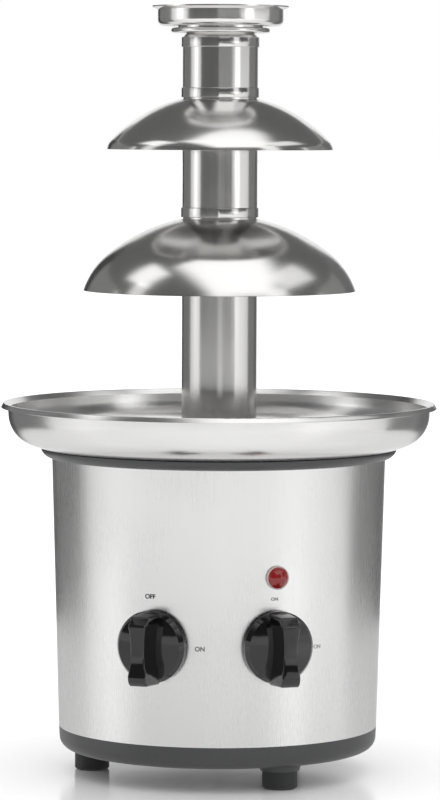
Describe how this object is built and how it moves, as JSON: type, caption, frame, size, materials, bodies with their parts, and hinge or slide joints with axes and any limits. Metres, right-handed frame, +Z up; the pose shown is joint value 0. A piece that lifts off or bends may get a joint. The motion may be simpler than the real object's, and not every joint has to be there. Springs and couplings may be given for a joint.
{
  "type": "chocolate fountain",
  "caption": "Tabletop chocolate fountain: steel drum base with knobs and pilot light, flared bowl, stacked tubes with domed tiers, cup-shaped crown and an inner lifting screw.",
  "frame": {"origin": "middle of the footprint, at the underside of the feet", "axes": "+Z up along the tower; -Y is the front with the knobs; +X to the right seen from the front"},
  "size_m": [0.2162, 0.2162, 0.3802],
  "materials": {
    "satin_steel": "satin, brushed upwards",
    "polished_steel": "polished",
    "tube_steel": "fine brushed",
    "bowl_steel": "spun, semi-bright",
    "black_moulding": "fine matt moulded",
    "knob_black": "gloss moulded",
    "foot_rubber": "matt",
    "seal_rubber": "soft matt",
    "food_plastic": "smooth moulded",
    "red_lens": "clear gloss",
    "pilot_plastic": "translucent gloss",
    "switch_plastic": "matt moulded",
    "zinc_steel": "zinc plated",
    "die_casting": "as cast",
    "element_steel": "dull",
    "control_ceramic": "matt",
    "fuse_case": "bright",
    "brass": "machined"
  },
  "bodies": {
    "housing": {"body_shell": "satin_steel", "locating_pins": "tube_steel", "bowl": "bowl_steel", "base_pan": "black_moulding", "top_collar": "black_moulding", "left_foot": "foot_rubber", "front_foot": "foot_rubber", "rear_foot": "foot_rubber", "cord_grommet": "foot_rubber", "shaft_seal": "seal_rubber", "pilot_lens": "red_lens", "pilot_bezel": "pilot_plastic", "pilot_body": "pilot_plastic", "motor_switch": "switch_plastic", "heat_switch": "switch_plastic", "foot_screws": "zinc_steel", "tie_rods": "zinc_steel", "bowl_studs": "zinc_steel", "stud_nuts": "zinc_steel", "motor_bracket": "zinc_steel", "gearbox_screws": "zinc_steel", "motor_can": "zinc_steel", "switch_nuts": "zinc_steel", "gearbox_case": "die_casting", "heat_plate": "die_casting", "heating_element": "element_steel", "thermostat": "control_ceramic", "terminal_block": "control_ceramic", "thermal_fuse": "fuse_case", "shaft_bush": "brass", "terminal_screws": "brass"},
    "drive": {"drive_shaft": "zinc_steel", "drive_pin": "zinc_steel"},
    "auger": {"auger": "food_plastic"},
    "lower_tube": {"lower_tube": "tube_steel"},
    "lower_tier": {"lower_tier": "polished_steel"},
    "middle_tube": {"middle_tube": "tube_steel"},
    "upper_tier": {"upper_tier": "polished_steel"},
    "top_tube": {"top_tube": "tube_steel"},
    "crown": {"crown": "polished_steel"},
    "motor_knob": {"motor_knob": "knob_black", "motor_spindle": "brass"},
    "heat_knob": {"heat_knob": "knob_black", "heat_spindle": "brass"}
  },
  "joints": [
    {"name": "auger_spin", "type": "hinge", "parent": "housing", "child": "drive", "pos_m": [0, 0, 0.165], "axis": [0, 0, 1], "continuous": true},
    {"name": "auger_lift", "type": "slide", "parent": "drive", "child": "auger", "axis": [0, 0, 1], "range_m": [0, 0.225]},
    {"name": "lower_tube_lift", "type": "slide", "parent": "housing", "child": "lower_tube", "axis": [0, 0, 1], "range_m": [0, 0.225]},
    {"name": "lower_tier_lift", "type": "slide", "parent": "lower_tube", "child": "lower_tier", "axis": [0, 0, 1], "range_m": [0, 0.14]},
    {"name": "middle_tube_lift", "type": "slide", "parent": "lower_tier", "child": "middle_tube", "axis": [0, 0, 1], "range_m": [0, 0.12]},
    {"name": "upper_tier_lift", "type": "slide", "parent": "middle_tube", "child": "upper_tier", "axis": [0, 0, 1], "range_m": [0, 0.07]},
    {"name": "top_tube_lift", "type": "slide", "parent": "upper_tier", "child": "top_tube", "axis": [0, 0, 1], "range_m": [0, 0.06]},
    {"name": "crown_lift", "type": "slide", "parent": "top_tube", "child": "crown", "axis": [0, 0, 1], "range_m": [0, 0.03]},
    {"name": "motor_knob_turn", "type": "hinge", "parent": "housing", "child": "motor_knob", "pos_m": [-0.03284, -0.08379, 0.0718], "axis": [0.3649, 0.9311, 0], "range_deg": [0, 90]},
    {"name": "heat_knob_turn", "type": "hinge", "parent": "housing", "child": "heat_knob", "pos_m": [0.03284, -0.08379, 0.0718], "axis": [-0.3649, 0.9311, 0], "range_deg": [0, 90]}
  ]
}
